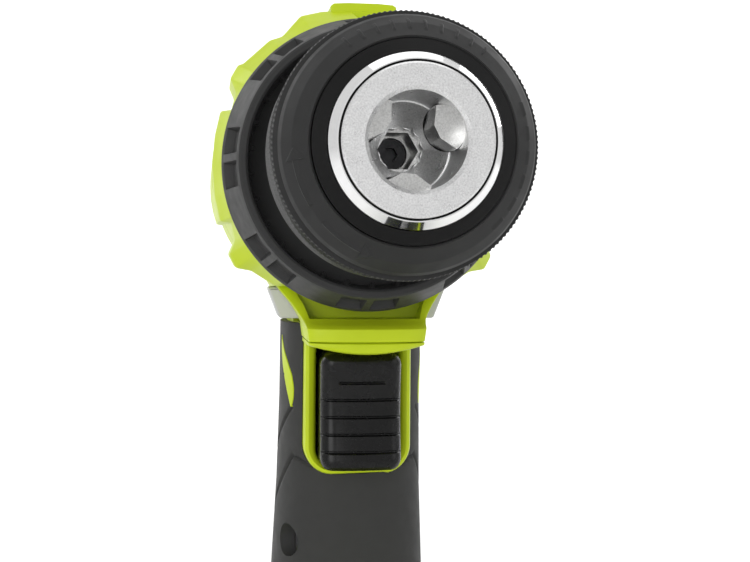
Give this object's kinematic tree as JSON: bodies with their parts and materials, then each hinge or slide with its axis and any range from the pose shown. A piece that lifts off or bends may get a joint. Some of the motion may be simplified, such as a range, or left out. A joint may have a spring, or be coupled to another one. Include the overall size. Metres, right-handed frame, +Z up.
{
  "type": "cordless drill",
  "caption": "Pistol-grip cordless drill with a keyless three-jaw chuck, a torque ring, a planetary gearbox, a variable-speed trigger and a slide-on battery pack.",
  "frame": {"origin": "on the surface the pack stands on, under the middle of the drill's width and length", "axes": "+Z up, -Y towards the chuck's nose, +X to the right of someone looking at the chuck"},
  "size_m": [0.076, 0.177, 0.2257],
  "materials": {
    "housing_green": "moulded plastic, fine grain",
    "grip_rubber": "soft overmould, fine grain",
    "black_plastic": "moulded plastic, satin",
    "trigger_black": "polished",
    "selector_grey": "moulded plastic, satin",
    "brushed_nose": "fine circular brushing",
    "polished_ring": "mirror polish",
    "hardened_steel": "ground, satin",
    "zinc_steel": "zinc plated",
    "gear_steel": "sintered, dark",
    "cast_case": "die cast",
    "bronze": "oiled sintered bronze",
    "copper_windings": "laminations and windings as one",
    "contact_brass": "bright",
    "circuit_green": "board with sealed parts",
    "cell_blue": "shrink-wrapped",
    "light_lens": "frosted"
  },
  "bodies": {
    "housing": {"gear_case": "cast_case", "output_ring_gear": "gear_steel", "spindle_bearing": "hardened_steel", "spindle_bushing": "bronze", "clutch_spring": "hardened_steel", "clutch_balls": "hardened_steel", "stator": "copper_windings", "motor_bearings": "hardened_steel", "motor_bracket": "cast_case", "front_housing": "housing_green", "front_screws": "zinc_steel", "housing_left": "housing_green", "housing_right": "housing_green", "handle_left": "housing_green", "handle_right": "housing_green", "rear_cap": "grip_rubber", "grip_left": "grip_rubber", "grip_right": "grip_rubber", "housing_screws": "zinc_steel", "trigger_frame": "housing_green", "trigger_spring": "hardened_steel", "switch_module": "black_plastic", "control_board": "circuit_green", "work_light": "light_lens", "terminal_block": "contact_brass", "belt_clip_inserts": "contact_brass"},
    "chuck": {"chuck_body": "brushed_nose", "nose_ring": "polished_ring", "nose_bezel": "black_plastic", "chuck_rear_collar": "black_plastic", "chuck_screw": "zinc_steel", "spindle": "hardened_steel", "output_carrier": "gear_steel"},
    "sleeve": {"chuck_sleeve": "black_plastic", "jaw_nut": "gear_steel"},
    "jaw_1": {"jaw_1": "hardened_steel"},
    "jaw_2": {"jaw_2": "hardened_steel"},
    "jaw_3": {"jaw_3": "hardened_steel"},
    "torque_ring": {"torque_ring": "black_plastic"},
    "clutch_nut": {"clutch_nut": "gear_steel"},
    "motor_rotor": {"rotor": "gear_steel", "motor_pinion": "contact_brass", "motor_fan": "black_plastic"},
    "input_carrier": {"input_carrier": "gear_steel"},
    "output_planet_1": {"output_planet_1": "gear_steel"},
    "output_planet_2": {"output_planet_2": "gear_steel"},
    "output_planet_3": {"output_planet_3": "gear_steel"},
    "input_planet_1": {"input_planet_1": "gear_steel"},
    "input_planet_2": {"input_planet_2": "gear_steel"},
    "input_planet_3": {"input_planet_3": "gear_steel"},
    "trigger": {"trigger": "trigger_black"},
    "direction_selector": {"direction_selector": "selector_grey"},
    "speed_selector": {"speed_selector": "black_plastic", "shift_ring_gear": "gear_steel"},
    "pack": {"pack_upper_case": "black_plastic", "pack_lower_case": "black_plastic", "pack_cells": "cell_blue", "pack_board": "circuit_green", "button_spring": "hardened_steel", "pack_screws": "zinc_steel"},
    "release_button": {"release_button": "selector_grey"}
  },
  "joints": [
    {"name": "rotor_spin", "type": "hinge", "parent": "housing", "child": "motor_rotor", "pos_m": [0, 0.042, 0.19], "axis": [0, -1, 0], "continuous": true},
    {"name": "chuck_spin", "type": "hinge", "parent": "housing", "child": "chuck", "pos_m": [0, -0.0465, 0.19], "axis": [0, -1, 0], "continuous": true},
    {"name": "carrier_spin", "type": "hinge", "parent": "housing", "child": "input_carrier", "pos_m": [0, 0.004, 0.19], "axis": [0, -1, 0], "continuous": true},
    {"name": "output_planet_1_spin", "type": "hinge", "parent": "chuck", "child": "output_planet_1", "pos_m": [0, -0.0047, 0.2008], "axis": [0, -1, 0], "continuous": true},
    {"name": "output_planet_2_spin", "type": "hinge", "parent": "chuck", "child": "output_planet_2", "pos_m": [-0.00935, -0.0047, 0.1846], "axis": [0, -1, 0], "continuous": true},
    {"name": "output_planet_3_spin", "type": "hinge", "parent": "chuck", "child": "output_planet_3", "pos_m": [0.00935, -0.0047, 0.1846], "axis": [0, -1, 0], "continuous": true},
    {"name": "input_planet_1_spin", "type": "hinge", "parent": "input_carrier", "child": "input_planet_1", "pos_m": [0, 0.0085, 0.2008], "axis": [0, -1, 0], "continuous": true},
    {"name": "input_planet_2_spin", "type": "hinge", "parent": "input_carrier", "child": "input_planet_2", "pos_m": [-0.00935, 0.0085, 0.1846], "axis": [0, -1, 0], "continuous": true},
    {"name": "input_planet_3_spin", "type": "hinge", "parent": "input_carrier", "child": "input_planet_3", "pos_m": [0.00935, 0.0085, 0.1846], "axis": [0, -1, 0], "continuous": true},
    {"name": "sleeve_turn", "type": "hinge", "parent": "chuck", "child": "sleeve", "pos_m": [0, -0.07, 0.19], "axis": [0, -1, 0], "range_deg": [0, 2930]},
    {"name": "jaw_1_slide", "type": "slide", "parent": "chuck", "child": "jaw_1", "axis": [-0.2777, -0.9511, -0.1355], "range_m": [0, 0.013]},
    {"name": "jaw_2_slide", "type": "slide", "parent": "chuck", "child": "jaw_2", "axis": [0.2562, -0.9511, -0.1728], "range_m": [0, 0.013]},
    {"name": "jaw_3_slide", "type": "slide", "parent": "chuck", "child": "jaw_3", "axis": [0.0216, -0.9511, 0.3083], "range_m": [0, 0.013]},
    {"name": "torque_ring_turn", "type": "hinge", "parent": "housing", "child": "torque_ring", "pos_m": [0, -0.03, 0.19], "axis": [0, -1, 0], "range_deg": [0, 300]},
    {"name": "clutch_nut_slide", "type": "slide", "parent": "torque_ring", "child": "clutch_nut", "axis": [0, 1, 0], "range_m": [0, 0.0016], "deforming": ["clutch_spring"]},
    {"name": "trigger_pull", "type": "slide", "parent": "housing", "child": "trigger", "axis": [0, 1, 0], "range_m": [0, 0.006], "stiffness_N_per_m": 700, "springref_m": -0.004, "deforming": ["trigger_spring"]},
    {"name": "direction_shift", "type": "slide", "parent": "housing", "child": "direction_selector", "axis": [1, 0, 0], "range_m": [-0.003, 0.003]},
    {"name": "speed_shift", "type": "slide", "parent": "housing", "child": "speed_selector", "axis": [0, -1, 0], "range_m": [0, 0.006]},
    {"name": "pack_slide", "type": "slide", "parent": "housing", "child": "pack", "axis": [0, -1, 0], "range_m": [0, 0.07]},
    {"name": "release_press", "type": "slide", "parent": "pack", "child": "release_button", "axis": [0, 0, -1], "range_m": [0, 0.0035], "stiffness_N_per_m": 800, "springref_m": -0.003, "deforming": ["button_spring"]}
  ],
  "couplings": [
    {"joint": "chuck_spin", "follows": "rotor_spin", "ratio": 0.049383},
    {"joint": "carrier_spin", "follows": "rotor_spin", "ratio": 0.22222},
    {"joint": "output_planet_1_spin", "follows": "rotor_spin", "ratio": -0.13827},
    {"joint": "input_planet_1_spin", "follows": "rotor_spin", "ratio": -0.62222},
    {"joint": "output_planet_2_spin", "follows": "rotor_spin", "ratio": -0.13827},
    {"joint": "input_planet_2_spin", "follows": "rotor_spin", "ratio": -0.62222},
    {"joint": "output_planet_3_spin", "follows": "rotor_spin", "ratio": -0.13827},
    {"joint": "input_planet_3_spin", "follows": "rotor_spin", "ratio": -0.62222},
    {"joint": "jaw_1_slide", "follows": "sleeve_turn", "m_per_rad": 0.00025},
    {"joint": "jaw_2_slide", "follows": "sleeve_turn", "m_per_rad": 0.00025},
    {"joint": "jaw_3_slide", "follows": "sleeve_turn", "m_per_rad": 0.00025},
    {"joint": "clutch_nut_slide", "follows": "torque_ring_turn", "m_per_rad": 0.00028648}
  ]
}
